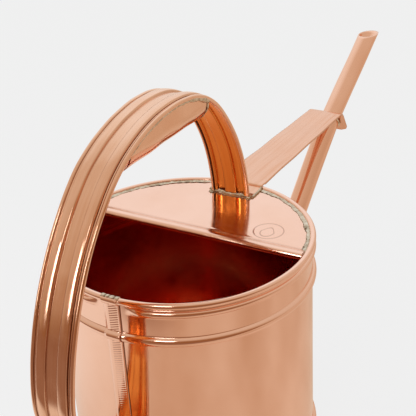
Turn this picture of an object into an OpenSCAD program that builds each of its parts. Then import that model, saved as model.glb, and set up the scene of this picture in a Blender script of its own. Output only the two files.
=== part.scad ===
// Copper watering can: open-topped cylinder with a half cover, a strap handle that
// springs from the cover to the back of the body, and a long braced spout.
// +X points along the spout, +Z is up, the origin is the centre of the underside.

/* [Body] */
// Outside diameter of the plain wall
body_d = 175; // [170:1:180]
// Height from the underside to the top of the rolled rim
body_h = 176; // [172:1:182]
// Thickness of the copper sheet
sheet = 0.9; // [0.7:0.1:1.1]
// Distance from the top of the wall to its upper broad bead
bead_inset = 28; // [26:1:30]
// Height of the lower broad bead
low_bead_z = 18.5; // [17.5:0.5:24]
// How far a broad bead stands out of the wall
bead_proud = 2.7; // [2:0.1:3]
// Half height of a broad bead
bead_half = 3.2; // [3:0.1:3.6]
// Width of the lock seam down the back
seam_w = 12; // [10:1:14]

/* [Cover] */
// Depth of the cover below the top of the rim
cover_drop = 1.8; // [1.4:0.1:2.2]
// Distance of the cover's straight edge from the can's middle
cover_edge_x = 5.6; // [0:0.2:12]
// Length from the cover's edge back to the end of its raised lip
lip_len = 10.4; // [8:0.4:12]

/* [Handle] */
// Width of the strap over its rolled edges
strap_w = 31; // [30:0.5:33]
// Thickness of the strap's sheet
strap_t = 0.8; // [0.7:0.1:1]
// Height of each rib on the strap's outer face
rib_h = 2; // [1.5:0.1:2.2]
// Width of each rib at its foot
rib_w = 6.6; // [6:0.2:7]
// Distance of the front foot from the can's middle
foot_x = 69.1; // [68:0.1:70]

/* [Spout] */
// Outside diameter of the lower tube
lower_d = 17.4; // [17:0.1:18]
// Outside diameter of the upper tube
upper_d = 16.8; // [16.2:0.1:17]
// Distance of the spout's bend from the can's middle
bend_x = 256.6; // [254:0.2:258]
// Height of the spout's bend
bend_z = 162.9; // [161:0.1:165]
// Rise of the lower tube in degrees
lower_rise = 38.2; // [38:0.1:39]
// Rise of the upper tube in degrees
upper_rise = 28.6; // [28:0.1:29]
// Length of the upper tube from the bend to the middle of its mouth
upper_len = 107.6; // [104:0.2:112]

/* [Brace] */
// Width of the brace over the rim
brace_w_rim = 34; // [32:0.5:35]
// Width of the brace at the spout
brace_w_spout = 29.5; // [28:0.5:31]

/* [Hidden] */
$fn = 96;

copper = "#cf9a78";
copper_dark = "#b4603a";
solder = "#b9b29c";
iron = "#6d6a66";

far = 400;      // longer than the object, for cutting blocks
gap = 0.05;     // air left between neighbouring pieces
R = body_d / 2;

// Rolled rim, drawn in so that it straddles the wall, and its wire
rim_r = 2.2;
rim_x = R + 0.1;
rim_z = body_h - rim_r;
wire_r = rim_r - sheet;

// Beads: [height, how far proud, half height]; the top has a small one of its own
small_bead = [8, 2.3, 2.4];
beads = [[small_bead[0], small_bead[1], small_bead[2]],
         [low_bead_z, bead_proud, bead_half],
         [body_h - bead_inset, bead_proud, bead_half],
         [body_h - small_bead[0], small_bead[1], small_bead[2]]];

// Bottom disc with an upturned flange around the wall
base_flange = 4.6;
base_t = 1;

// Lock seam, which follows the wall over the beads
seam_proud = 1;
seam_low = base_flange + 0.4;
seam_top = rim_z - rim_r;

// Cover
cover_top = body_h - cover_drop;
lip_r = 2.5;
lip_z = cover_top - 0.9;
cover_r = rim_x - rim_r - gap;

// Handle: bends in order from the front foot, each [radius in body radii, turn in degrees]
bends = [[1.51, 38.6], [0.78, 42.2], [1.405, 33], [0.895, 15.6],
         [2.08, 28.8], [1.91, 13.7], [0.55, 62.8]];
foot_start = [foot_x, cover_top + 0.25, 93];
rear_bend_r = 16;
rear_foot_len = 16;
roll_r = 1.5;
roll_y = strap_w / 2 - roll_r;
rib_y = 7;

// Grip liner: a trough under the top of the arch
liner_r = 13.6;
liner_bottom = 252.5;
liner_t = 0.7;
liner_back = -93;
liner_front = 19;

// Spout
tube_t = 0.8;
mean_rise = (lower_rise + upper_rise) / 2;
flare = 4;
mouth_tilt = 4;
lower_len = (bend_x - R) / cos(lower_rise);

// Brace: rests on the rim, its front end is folded down square to the spout
brace_t = 1;
brace_rest = [rim_x, body_h + 0.1];
fold_above = 11.5;
flange_below = 13.8;
fold = [bend_x - fold_above * sin(mean_rise), bend_z + fold_above * cos(mean_rise)];
brace_slope = atan2(fold[1] - brace_rest[1], fold[0] - brace_rest[0]);
brace_len = norm(fold - brace_rest);
hem = 4;
foot_back = foot_x + 1.9;
foot_flat = 12;

// Place and heading [x, z, degrees from +X towards +Z] after turning left by bend b
function turned(p, b) =
    let (r = b[0] * R, cx = p[0] - r * sin(p[2]), cz = p[1] + r * cos(p[2]), h = p[2] + b[1])
    [cx + r * sin(h), cz - r * cos(h), h];
// Place and heading where bend number i starts
function pose(i) = i == 0 ? foot_start : turned(pose(i - 1), bends[i - 1]);

// Closing straight of the handle, so that the rear foot lands on the seam
arch_end = pose(len(bends));
rear_x = -(R + seam_proud + strap_t + gap);
rear_run = (rear_x - arch_end[0] - rear_bend_r * (1 + sin(arch_end[2]))) / cos(arch_end[2]);
rear_start = [arch_end[0] + rear_run * cos(arch_end[2]),
              arch_end[1] + rear_run * sin(arch_end[2]), arch_end[2]];
rear_foot_z = rear_start[1] - rear_bend_r * cos(arch_end[2]);

// Place and heading at the fraction f of bend i, and of the reverse bend above the rear foot
function on_bend(i, f) = turned(pose(i), [bends[i][0], bends[i][1] * f]);
function on_rear_bend(f) =
    let (h = arch_end[2] - (arch_end[2] - 270) * f,
         cx = rear_start[0] + rear_bend_r * sin(arch_end[2]),
         cz = rear_start[1] - rear_bend_r * cos(arch_end[2]))
    [cx - rear_bend_r * sin(h), cz + rear_bend_r * cos(h), h];

// Stations of the handle, one every 12 mm or so round the bends
steps = [for (b = bends) ceil(b[0] * R * b[1] * PI / 180 / 12)];
stations = concat(
    [for (i = [0:len(bends) - 1]) for (k = [0:steps[i] - 1]) on_bend(i, k / steps[i])],
    [arch_end], [for (k = [0:3]) on_rear_bend(k / 3)],
    [[rear_x, rear_foot_z - rear_foot_len, 270]]);

// Middle line of half the strap's section, [out of the face, across], up to its curled edge
curl_r = roll_r - strap_t / 2;
half_line = concat(
    [[0, 0], [0, rib_y - rib_w / 2], [rib_h, rib_y - rib_w / 2 + 1.4],
     [rib_h, rib_y + rib_w / 2 - 1.4], [0, rib_y + rib_w / 2]],
    [for (a = [180:-60:-120]) [curl_r * sin(a), roll_y + curl_r * cos(a)]]);
strap_line = concat([for (k = [len(half_line) - 1:-1:1]) [half_line[k][0], -half_line[k][1]]],
                    half_line);
// Moves a line sideways by d, with mitred corners
function unit(v) = v / norm(v);
function beside(line, d) = [for (k = [0:len(line) - 1])
    let (a = unit(line[max(k, 1)] - line[max(k, 1) - 1]),
         b = unit(line[min(k + 1, len(line) - 1)] - line[min(k, len(line) - 2)]),
         n = unit([-a[1] - b[1], a[0] + b[0]]))
    line[k] + n * d / max(0.7, n * [-a[1], a[0]])];
strap_section = [for (q = concat(beside(strap_line, strap_t / 2),
                                 [for (k = [len(strap_line) - 1:-1:0])
                                     beside(strap_line, -strap_t / 2)[k]]))
    q - [strap_t / 2, 0]];

// Points every few degrees along bend i, moved off the strap's face by n
function bend_points(i, n) = [for (k = [0:8]) let (p = on_bend(i, k / 8))
    [p[0] + n * sin(p[2]), p[1] - n * cos(p[2])]];

// ---- sections -------------------------------------------------------------

// Radius of a bead's arc, and how far its centre lies inside the wall's face
function bead_sink(b) = (b[2] * b[2] - b[1] * b[1]) / (2 * b[1]);
function bead_arc(b) = bead_sink(b) + b[1];

// Disc that bulges out of the wall as a bead, grown by an amount
module bead_disc(b, grow) {
    translate([R - bead_sink(b), b[0]]) circle(r = bead_arc(b) + grow);
}

// Ring of sheet that forms a bead
module bead_ring(b) {
    intersection() {
        bead_disc(b, 0);
        translate([R - sheet, b[0] - b[2] - 1]) square([10, 2 * b[2] + 2]);
    }
}

// Outline of the whole body, beads included, grown by an amount
module body_outline(grow) {
    square([R + grow, body_h]);
    for (b = beads) bead_disc(b, grow);
}

module body_envelope() {
    rotate_extrude() body_outline(gap);
}

module wall_section() {
    difference() {
        union() {
            translate([R - sheet, base_t + gap]) square([sheet, rim_z - base_t]);
            for (b = beads) bead_ring(b);
            translate([rim_x, rim_z]) circle(r = rim_r);
        }
        for (b = beads) bead_disc(b, -sheet);
        translate([rim_x, rim_z]) circle(r = wire_r);
        // The curl's free edge stops short of the wall
        translate([R, rim_z - rim_r - 0.5]) square([0.4, rim_r]);
    }
}

// ---- sweeps along the handle ------------------------------------------------

// Sweeps a section, a list of [out of the face, across], through all the handle's stations
module along_handle(section) {
    n = len(section);
    last = len(stations) - 1;
    polyhedron(
        points = [for (p = stations) for (q = section)
            [p[0] + q[0] * sin(p[2]), q[1], p[1] - q[0] * cos(p[2])]],
        faces = concat(
            [[for (k = [0:n - 1]) k]],
            [for (j = [0:last - 1]) for (k = [0:n - 1])
                [j * n + k, (j + 1) * n + k, (j + 1) * n + (k + 1) % n, j * n + (k + 1) % n]],
            [[for (k = [n - 1:-1:0]) last * n + k]]));
}

// Sweeps its child section around bend i alone
module along_bend(i) {
    r = bends[i][0] * R;
    p = pose(i);
    translate([p[0], 0, p[1]]) rotate([90, 0, 0]) rotate([0, 0, p[2] - 90]) translate([-r, 0, 0])
        rotate_extrude(angle = bends[i][1]) translate([r, 0]) children();
}

// Space inside the arch, just clear of the strap's rolled edges
module under_arch() {
    n = -strap_t / 2 - roll_r - gap;
    rotate([90, 0, 0]) translate([0, 0, -strap_w])
        linear_extrude(2 * strap_w)
            polygon(concat(bend_points(1, n), bend_points(2, n),
                           bend_points(3, n), bend_points(4, n)));
}

// ---- spout -------------------------------------------------------------------

// Straight round bar of radius r that leaves the bend at a rise, from one distance to another
module bar(r, rise, from, to) {
    translate([bend_x, 0, bend_z]) rotate([0, 90 - rise, 0])
        translate([0, 0, from]) cylinder(r = r, h = to - from);
}

// Half space in front of the mitre between the two tubes
module past_mitre() {
    translate([bend_x, 0, bend_z]) rotate([0, 90 - mean_rise, 0])
        translate([-far / 2, -far / 2, brace_t / 2 + gap]) cube(far);
}

// Half space above the slanting mouth
module above_mouth() {
    translate([bend_x + upper_len * cos(upper_rise), 0, bend_z + upper_len * sin(upper_rise)])
        rotate([0, mouth_tilt, 0]) translate([-far / 2, -far / 2, 0]) cube(far);
}

// ---- nodes -------------------------------------------------------------------

module body_shell() {
    color(copper) difference() {
        rotate_extrude() wall_section();
        bar(lower_d / 2 - tube_t, lower_rise, -lower_len - 30, -lower_len + 30);
    }
}

module rear_lock_seam() {
    half = asin(seam_w / 2 / R);
    color(copper) rotate([0, 0, 180 - half]) rotate_extrude(angle = 2 * half) intersection() {
        difference() {
            body_outline(seam_proud);
            body_outline(gap);
        }
        translate([0, seam_low]) square([far, seam_top - seam_low]);
    }
}

module rim_wire() {
    color(iron) rotate_extrude() translate([rim_x, rim_z]) circle(r = wire_r - gap);
}

module base_plate() {
    color(copper) rotate_extrude() difference() {
        square([R + base_t, base_flange]);
        translate([0, base_t]) square([R + gap, base_flange]);
        // Rounded lower corner
        translate([R + base_t - 1, 0]) difference() {
            square([1, 1]);
            translate([0, 1]) circle(r = 1);
        }
    }
}

module top_cover() {
    edge = cover_edge_x + lip_r;
    lip_end = cover_edge_x + lip_len;
    crest = lip_z + lip_r;
    color(copper) intersection() {
        translate([0, 0, body_h - 20]) cylinder(r = cover_r, h = 40);
        translate([0, R, 0]) rotate([90, 0, 0]) difference() {
            union() {
                translate([edge, lip_z, 0]) cylinder(r = lip_r, h = 2 * R);
                linear_extrude(2 * R)
                    polygon([[edge, crest - 0.6], [edge, crest - 0.05], [edge + 2.5, crest - 0.25],
                             [lip_end, cover_top], [R, cover_top], [R, cover_top - sheet],
                             [lip_end, cover_top - sheet], [edge + 2.5, crest - 0.2 - sheet]]);
            }
            translate([edge, lip_z, -1]) cylinder(r = lip_r - sheet, h = 2 * R + 2);
        }
    }
}

module cover_edge_wire() {
    reach = sqrt(cover_r * cover_r - pow(cover_edge_x + 2 * lip_r, 2)) - 0.5;
    color(iron) translate([cover_edge_x + lip_r, -reach, lip_z]) rotate([-90, 0, 0])
        cylinder(r = lip_r - sheet - gap, h = 2 * reach);
}

module handle_strap() {
    color(copper) along_handle(strap_section);
}

module handle_wire(side) {
    r = roll_r - strap_t - gap;
    color(iron) along_handle([for (a = [0:45:315])
        [r * sin(a) - strap_t / 2, side * roll_y + r * cos(a)]]);
}

module handle_wire_left() {
    handle_wire(1);
}

module handle_wire_right() {
    handle_wire(-1);
}

module liner_section(r) {
    circle(r = r);
    translate([-r, 0]) square([2 * r, 40]);
}

module grip_liner() {
    color(copper_dark) intersection() {
        translate([liner_back, 0, liner_bottom + liner_r]) rotate([90, 0, 90])
            linear_extrude(liner_front - liner_back) difference() {
                liner_section(liner_r);
                liner_section(liner_r - liner_t);
            }
        under_arch();
    }
}

module brace_strip() {
    ends = [brace_w_rim / 2, brace_w_spout / 2];
    color(copper) {
        // Sloping strip with a hem under each long edge
        translate([brace_rest[0], 0, brace_rest[1]]) rotate([0, -brace_slope, 0]) {
            linear_extrude(brace_t)
                polygon([[-1, -ends[0]], [brace_len + 0.6, -ends[1]],
                         [brace_len + 0.6, ends[1]], [-1, ends[0]]]);
            for (s = [-1, 1]) translate([0, 0, -brace_t]) linear_extrude(brace_t + 0.2)
                polygon([[4, s * (ends[0] - 0.1)], [brace_len - 4, s * (ends[1] + 0.1)],
                         [brace_len - 4, s * (ends[1] - hem)], [4, s * (ends[0] - hem)]]);
        }
        // Foot that steps down off the rim and lies on the cover
        rotate([90, 0, 0]) translate([0, 0, -brace_w_rim / 2]) linear_extrude(brace_w_rim)
            polygon([[brace_rest[0], brace_rest[1]], [brace_rest[0], brace_rest[1] + brace_t],
                     [brace_rest[0] - 2, brace_rest[1] + brace_t],
                     [foot_back + foot_flat, cover_top + gap + brace_t],
                     [foot_back, cover_top + gap + brace_t], [foot_back, cover_top + gap],
                     [foot_back + foot_flat, cover_top + gap],
                     [brace_rest[0] - 2, brace_rest[1]]]);
        // End folded down square to the spout, with the hole that the spout passes through
        difference() {
            translate([bend_x, 0, bend_z]) rotate([0, 90 - mean_rise, 0])
                translate([-fold_above - brace_t, -ends[1], -brace_t / 2]) difference() {
                    cube([brace_t + fold_above + flange_below, 2 * ends[1], brace_t]);
                    for (y = [0, 2 * ends[1]]) translate([brace_t + fold_above + flange_below, y, 0])
                        rotate([0, 0, 45]) cube([8, 8, 4], center = true);
                }
            bar(lower_d / 2 + 0.1, lower_rise, -40, 40);
        }
    }
}

module spout_lower_tube() {
    color(copper) difference() {
        bar(lower_d / 2, lower_rise, -lower_len - 30, 20);
        bar(lower_d / 2 - tube_t, lower_rise, -lower_len - 40, 30);
        past_mitre();
        body_envelope();
    }
}

module spout_upper_tube() {
    color(copper) difference() {
        intersection() {
            union() {
                bar(upper_d / 2, upper_rise, flare, upper_len + 40);
                // End opened out to meet the lower tube
                translate([bend_x, 0, bend_z]) rotate([0, 90 - upper_rise, 0])
                    translate([0, 0, -2]) cylinder(r1 = lower_d / 2, r2 = upper_d / 2, h = flare + 2);
            }
            past_mitre();
        }
        bar(upper_d / 2 - tube_t, upper_rise, -30, upper_len + 50);
        above_mouth();
    }
}

module solder_seam_top() {
    color(solder) intersection() {
        translate([0, 0, rim_z + rim_r - 4.6]) difference() {
            cylinder(r = R + 3.6, h = 4.8);
            translate([0, 0, -1]) cylinder(r = R + 2.35, h = 10);
        }
        translate([-R - 10, -seam_w / 2 - 1, 0]) cube([20, seam_w + 3, far]);
    }
}

module solder_base_joint() {
    inner = R - sheet - gap;
    color(solder) rotate_extrude()
        polygon([[inner, base_t + gap], [inner, base_t + 2.2], [inner - 2.2, base_t + gap]]);
}

module solder_cover_joint() {
    top = rim_z + 1.2;
    inner = cover_r - 3;
    color(solder) intersection() {
        rotate_extrude() difference() {
            polygon([[inner, cover_top + gap], [cover_r, cover_top + gap],
                     [rim_x - 1.6, top], [rim_x - 2.6, top]]);
            translate([rim_x, rim_z]) circle(r = rim_r + gap);
        }
        translate([cover_edge_x + lip_len, -far / 2, 0]) cube(far);
        union() {
            translate([-far, -far / 2, 0]) cube([far + foot_back - 4, far, far]);
            for (s = [-1, 1]) translate([0, s * (far / 2 + brace_w_rim / 2 + gap), far / 2])
                cube(far, center = true);
        }
    }
}

module solder_handle_front() {
    color(solder) translate([foot_x, 0, cover_top + gap]) difference() {
        translate([-1.6, 0, 0.9]) cube([4.4, strap_w + 3, 1.8], center = true);
        translate([-0.1, 0, 0]) cube([4.6, strap_w + 0.2, 8], center = true);
    }
}

module solder_handle_rear() {
    y = strap_w / 2 + gap;
    color(solder) for (s = [0, 1]) mirror([0, s, 0])
        translate([0, 0, rear_foot_z - rear_foot_len - 1]) linear_extrude(rear_foot_len + 2)
            difference() {
                polygon([[-R - 1.6, y], [-R + 6, y], [-R + 6, y + 2.4], [-R + 1, y + 2.4]]);
                circle(r = R + gap);
            }
}

module solder_grip_liner() {
    bead_r = 0.8;
    n = -strap_t / 2 - roll_r - bead_r - gap;
    color(solder) for (s = [-1, 1])
        along_bend(2) translate([n, s * (liner_r + bead_r + gap)]) circle(r = bead_r);
}

module solder_brace_foot() {
    y = brace_w_rim / 2 + gap;
    color(solder) rotate([90, 0, 0]) for (s = [-1, 1])
        translate([0, 0, s > 0 ? y : -y - 1.6]) linear_extrude(1.6)
            polygon([[foot_back - 1, cover_top + gap], [foot_back - 1, cover_top + 1.4],
                     [foot_back + foot_flat - 2, cover_top + 1.4],
                     [foot_back + foot_flat - 2, cover_top + gap]]);
}

module solder_brace_spout() {
    color(solder) difference() {
        translate([bend_x, 0, bend_z]) rotate([0, 90 - mean_rise, 0])
            translate([0, 0, -brace_t / 2 - gap - 2])
                cylinder(r1 = lower_d / 2 + 0.4, r2 = lower_d / 2 + 1.9, h = 2);
        bar(lower_d / 2 + gap, lower_rise, -40, 40);
    }
}

module solder_spout_root() {
    color(solder) difference() {
        bar(lower_d / 2 + 1.6, lower_rise, -lower_len - 30, -lower_len + 9);
        bar(lower_d / 2 + gap, lower_rise, -lower_len - 40, 30);
        body_envelope();
        translate([R + 4.4, -far / 2, -far / 2]) cube(far);
    }
}

body_shell();
rear_lock_seam();
rim_wire();
base_plate();
top_cover();
cover_edge_wire();
handle_strap();
handle_wire_left();
handle_wire_right();
grip_liner();
brace_strip();
spout_lower_tube();
spout_upper_tube();
solder_seam_top();
solder_base_joint();
solder_cover_joint();
solder_handle_front();
solder_handle_rear();
solder_grip_liner();
solder_brace_foot();
solder_brace_spout();
solder_spout_root();
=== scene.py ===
"""Looks of the copper watering can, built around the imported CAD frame."""

import math

import bpy
import numpy as np
from mathutils import Matrix, Vector, noise


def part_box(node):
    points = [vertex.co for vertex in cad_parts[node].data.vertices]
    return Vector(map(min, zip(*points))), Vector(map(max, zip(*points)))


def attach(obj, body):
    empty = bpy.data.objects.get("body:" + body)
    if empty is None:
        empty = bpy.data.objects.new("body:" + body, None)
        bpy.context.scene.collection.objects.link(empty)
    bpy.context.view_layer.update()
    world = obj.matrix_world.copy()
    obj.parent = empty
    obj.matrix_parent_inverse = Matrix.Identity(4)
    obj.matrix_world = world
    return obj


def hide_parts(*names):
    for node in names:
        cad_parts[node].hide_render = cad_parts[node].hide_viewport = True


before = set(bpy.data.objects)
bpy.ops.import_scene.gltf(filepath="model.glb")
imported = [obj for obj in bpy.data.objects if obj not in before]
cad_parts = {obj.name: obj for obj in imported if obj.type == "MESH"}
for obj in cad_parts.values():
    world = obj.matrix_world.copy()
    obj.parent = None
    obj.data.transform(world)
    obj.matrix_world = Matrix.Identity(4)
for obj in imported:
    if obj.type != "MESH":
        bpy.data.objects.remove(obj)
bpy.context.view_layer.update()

# ---- sizes, in millimetres unless a name says otherwise ---------------------------------

MM = 0.001


def node_box(node):
    """Lowest and highest corner of a CAD node, in millimetres."""
    low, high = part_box(node)
    return np.array(low) / MM, np.array(high) / MM


RIM_TOP = node_box("body_shell")[1][2]
WALL_R = node_box("base_plate")[1][0] - 1.0
SHEET = 0.9
RIM_ROLL = 2.2
RIM_X = WALL_R + 0.1
RIM_Z = RIM_TOP - RIM_ROLL
BROAD_BEAD = dict(proud=2.6, half=3.2)
SMALL_BEAD = dict(proud=2.3, half=2.4)
BASE_T = 1.0
BASE_FLANGE_TOP = 4.6

SEAM_W = 12.0
SEAM_T = 0.9
HATCH_PITCH = 1.7
HATCH_DEPTH = 0.12

COVER_EDGE_X = node_box("top_cover")[0][0]
COVER_TOP = RIM_TOP - 1.8
COVER_R = RIM_X - RIM_ROLL - 0.05
LIP_R = 2.5
LIP_LEN = 10.4
MARK_X = 29.0
MARK_Y = -50.0
MARK_R = 10.5
MARK_DEPTH = 0.14

STRAP_W = 31.0
STRAP_T = 0.8
RIB_Y = 7.6
RIB_H = 1.75
RIB_FOOT = 3.5
RIB_CREST = 2.4
CURL_R = 1.5
# x, z and heading in degrees of the strap where it leaves the cover
HANDLE_FOOT = (69.1, COVER_TOP + 0.25, 93.0)
# The arch's bends from there on: radius as a share of the wall's radius, and turn in degrees
BENDS = ((1.51, 38.6), (0.78, 42.2), (1.405, 33), (0.895, 15.6),
         (2.08, 28.8), (1.91, 13.7), (0.55, 62.8))
REAR_BEND_R = 16.0
REAR_FOOT_LEN = 16.0

LINER_R = 13.6
LINER_T = 0.7
LINER_BOTTOM = 252.5
LINER_BACK = -93.0
LINER_FRONT = 19.0

BEND = np.array((256.6, 0.0, 162.9))
LOWER_R = 8.7
UPPER_R = 8.4
TUBE_T = 0.8
LOWER_RISE = math.radians(38.2)
UPPER_RISE = math.radians(28.6)
UPPER_LEN = 107.6
MOUTH_TILT = math.radians(4)

BRACE_T = 1.0
# Half the brace's width at the rim and at its fold
BRACE_HALF = (17.0, 14.75)
FOLD_ABOVE = 11.5
FLANGE_BELOW = 13.8
FOLD_TO_END = FOLD_ABOVE + FLANGE_BELOW


# ---- camera ---------------------------------------------------------------------------------

def make_camera():
    """Looks down over the back of the can, from its right-hand side seen along the spout."""
    azimuth, elevation, roll = (math.radians(a) for a in (30.74, 27.17, -3.35))
    distance = 0.6362
    aim = Vector((0.0154, -0.0116, 0.1902))
    ahead = Vector((math.cos(elevation) * math.cos(azimuth),
                    math.cos(elevation) * math.sin(azimuth), -math.sin(elevation)))
    right = ahead.cross(Vector((0, 0, 1))).normalized()
    up = right.cross(ahead)
    right, up = (right * math.cos(roll) + up * math.sin(roll),
                 up * math.cos(roll) - right * math.sin(roll))
    data = bpy.data.cameras.new("camera")
    data.sensor_width = 36
    data.lens = 81
    data.clip_start = 0.01
    camera = bpy.data.objects.new("camera", data)
    camera.matrix_world = Matrix.Translation(aim - ahead * distance) @ Matrix(
        (right, up, -ahead)).transposed().to_4x4()
    bpy.context.scene.collection.objects.link(camera)
    bpy.context.scene.camera = camera


make_camera()


# ---- materials ------------------------------------------------------------------------------

class Nodes:
    """Short names for building a material's node tree."""

    def __init__(self, name):
        self.material = bpy.data.materials.new(name)
        self.material.use_nodes = True
        self.tree = self.material.node_tree
        self.shader = self.tree.nodes["Principled BSDF"]
        self.place = self.add("ShaderNodeTexCoord").outputs["Object"]

    def add(self, kind, **settings):
        made = self.tree.nodes.new(kind)
        for key, value in settings.items():
            setattr(made, key, value)
        return made

    def link(self, a, b):
        self.tree.links.new(a, b)

    def noise(self, scale, detail=4.0, roughness=0.55, stretch=None):
        made = self.add("ShaderNodeTexNoise")
        made.inputs["Scale"].default_value = scale
        made.inputs["Detail"].default_value = detail
        made.inputs["Roughness"].default_value = roughness
        self.link(self.stretched(stretch), made.inputs["Vector"])
        return made.outputs["Fac"]

    def stretched(self, stretch):
        if stretch is None:
            return self.place
        made = self.add("ShaderNodeMapping")
        made.inputs["Scale"].default_value = stretch
        self.link(self.place, made.inputs["Vector"])
        return made.outputs["Vector"]

    def ramp(self, value, stops):
        """Colour ramp; a stop's colour has three values, or one that stands for a grey."""
        made = self.add("ShaderNodeValToRGB")
        ramp = made.color_ramp
        while len(ramp.elements) < len(stops):
            ramp.elements.new(0.5)
        for element, (position, colour) in zip(ramp.elements, stops):
            element.position = position
            element.color = (*colour, 1) if len(colour) == 3 else (*colour * 3, 1)
        self.link(value, made.inputs["Fac"])
        return made.outputs["Color"]

    def mix(self, factor, a, b):
        """Mix of two colours; each of the three may be a value or the output of a node."""
        made = self.add("ShaderNodeMix", data_type="RGBA")
        for socket, value in ((made.inputs["Factor"], factor), (made.inputs["A"], a),
                              (made.inputs["B"], b)):
            if hasattr(value, "links"):
                self.link(value, socket)
            else:
                socket.default_value = value
        return made.outputs["Result"]

    def painted_shade(self):
        """Painted shade at each point, from 0 to 1, as the piece stores it; 0 on other pieces."""
        return self.add("ShaderNodeAttribute", attribute_name="painted_shade").outputs["Fac"]

    def bump(self, height, distance, strength, under=None):
        made = self.add("ShaderNodeBump")
        made.inputs["Strength"].default_value = strength
        made.inputs["Distance"].default_value = distance
        self.link(height, made.inputs["Height"])
        if under is not None:
            self.link(under, made.inputs["Normal"])
        return made.outputs["Normal"]


COPPER = (0.955, 0.64, 0.51)
# Colours of painted shade, mixed in where a piece stores painted shade: its recesses, creases and gaps
COPPER_PAINTED_SHADE = (0.20, 0.07, 0.03, 1)
SOLDER_PAINTED_SHADE = (0.08, 0.05, 0.03, 1)
# Scale of the scratches' noise in x, y and z, small along the way that they run
LENGTHWISE = (0.03, 1, 0.03)
ROUND_THE_BODY = (1, 1, 12)


def copper(name, tint=COPPER, gloss=0.10, grain=None, tarnish=0.25, wavy=0.35, streaks=0.0):
    """Polished copper: slight tarnish, smudges, fine scratches, the sheet's soft waviness, and painted
    shade where a piece stores it.

    Streaks run in the direction in which grain is stretched."""
    n = Nodes(name)
    dark = tuple(c * f for c, f in zip(tint, (0.88, 0.72, 0.58)))
    blotch = n.noise(18, detail=6, roughness=0.6)
    mask = n.ramp(blotch, ((0.45, (0.0,)), (0.75, (tarnish,))))
    base = n.mix(mask, (*tint, 1), (*dark, 1))
    if streaks:
        lines = n.noise(420, detail=4, roughness=0.6, stretch=grain)
        base = n.mix(n.ramp(lines, ((0.42, (0.0,)), (0.68, (streaks,)))), base, (*dark, 1))
    # Painted shade darkens the copper where a piece stores it
    base = n.mix(n.painted_shade(), base, COPPER_PAINTED_SHADE)
    n.link(base, n.shader.inputs["Base Color"])
    n.shader.inputs["Metallic"].default_value = 1.0
    smudge = n.noise(55, detail=5, roughness=0.65)
    dull = n.ramp(smudge, ((0.35, (gloss * 0.7,)), (0.7, (gloss * 1.7,))))
    n.link(dull, n.shader.inputs["Roughness"])
    wave = n.bump(n.noise(45, detail=1.5), 0.00012, wavy)
    fine = n.bump(n.noise(900, detail=2, stretch=grain or (1, 1, 1)), 0.000004, 0.5, wave)
    n.link(fine, n.shader.inputs["Normal"])
    return n.material


def solder_metal(name):
    """Wiped tin solder: dull beige-grey, pitted, with a trace of flux."""
    n = Nodes(name)
    base = n.ramp(n.noise(260, detail=6, roughness=0.7),
                  ((0.3, (0.34, 0.26, 0.17)), (0.5, (0.66, 0.58, 0.45)), (0.72, (0.86, 0.80, 0.68))))
    # Painted shade darkens the solder where a piece stores it
    n.link(n.mix(n.painted_shade(), base, SOLDER_PAINTED_SHADE), n.shader.inputs["Base Color"])
    n.shader.inputs["Metallic"].default_value = 1.0
    dull = n.ramp(n.noise(400), ((0.3, (0.22,)), (0.7, (0.5,))))
    n.link(dull, n.shader.inputs["Roughness"])
    lumps = n.bump(n.noise(420, detail=5, roughness=0.6), 0.0003, 0.5)
    n.link(lumps, n.shader.inputs["Normal"])
    return n.material


def iron(name):
    """Drawn iron wire, dark and slightly rusty."""
    n = Nodes(name)
    base = n.ramp(n.noise(300, detail=6), ((0.35, (0.20, 0.19, 0.18)), (0.7, (0.30, 0.21, 0.15))))
    n.link(base, n.shader.inputs["Base Color"])
    n.shader.inputs["Metallic"].default_value = 0.9
    dull = n.ramp(n.noise(500), ((0.3, (0.35,)), (0.7, (0.6,))))
    n.link(dull, n.shader.inputs["Roughness"])
    n.link(n.bump(n.noise(900, detail=3), 0.00005, 0.4), n.shader.inputs["Normal"])
    return n.material


BODY_METAL = copper("copper_body", grain=ROUND_THE_BODY)
# Inside the can: a darker, redder copy of the copper, which is painted shade
INSIDE_SHADED_METAL = copper("copper_inside_shaded", tint=(0.72, 0.20, 0.11), gloss=0.16,
                      tarnish=0.3, wavy=0.05)
# The strap's inner face: heavier tarnish and streaks, and a darker, more orange tint than the strap's,
# which is painted shade and painted reflection of the copper round it
UNDER_SHADED_METAL = copper("copper_under_shaded", tint=(0.88, 0.37, 0.09), gloss=0.14, grain=LENGTHWISE,
                     tarnish=0.6, streaks=0.8)
COVER_METAL = copper("copper_cover", gloss=0.12)
STRAP_METAL = copper("copper_strap", tint=(0.91, 0.60, 0.44), gloss=0.15, grain=LENGTHWISE,
                     tarnish=0.45, streaks=0.35)
TUBE_METAL = copper("copper_tube", tint=(0.94, 0.60, 0.45))
# The brace: a darker tint, which is painted shade, and lengthwise streaks, which are painted
# reflections
BRACE_SHADED_METAL = copper("copper_brace", tint=(0.84, 0.50, 0.35), gloss=0.14, grain=LENGTHWISE,
                     streaks=0.5)
SOLDER_METAL = solder_metal("solder")
IRON = iron("iron_wire")


# ---- mesh helpers ---------------------------------------------------------------------------

def piece(name, points, faces, metal, slot, *nodes):
    """Makes a mesh piece from points in millimetres, which stands for the CAD nodes named."""
    mesh = bpy.data.meshes.new(name)
    mesh.from_pydata((np.asarray(points) * MM).tolist(), [], faces)
    mesh.materials.append(metal)
    mesh.polygons.foreach_set("use_smooth", [True] * len(mesh.polygons))
    mesh.update()
    made = bpy.data.objects.new(name, mesh)
    bpy.context.scene.collection.objects.link(made)
    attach(made, "root")
    if nodes:
        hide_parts(*nodes)
    return made


def second_metal(made, metal, chosen):
    """Gives a second metal to the faces for which chosen, one value for each face, is true."""
    made.data.materials.append(metal)
    made.data.polygons.foreach_set("material_index", np.asarray(chosen, int).tolist())


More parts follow.
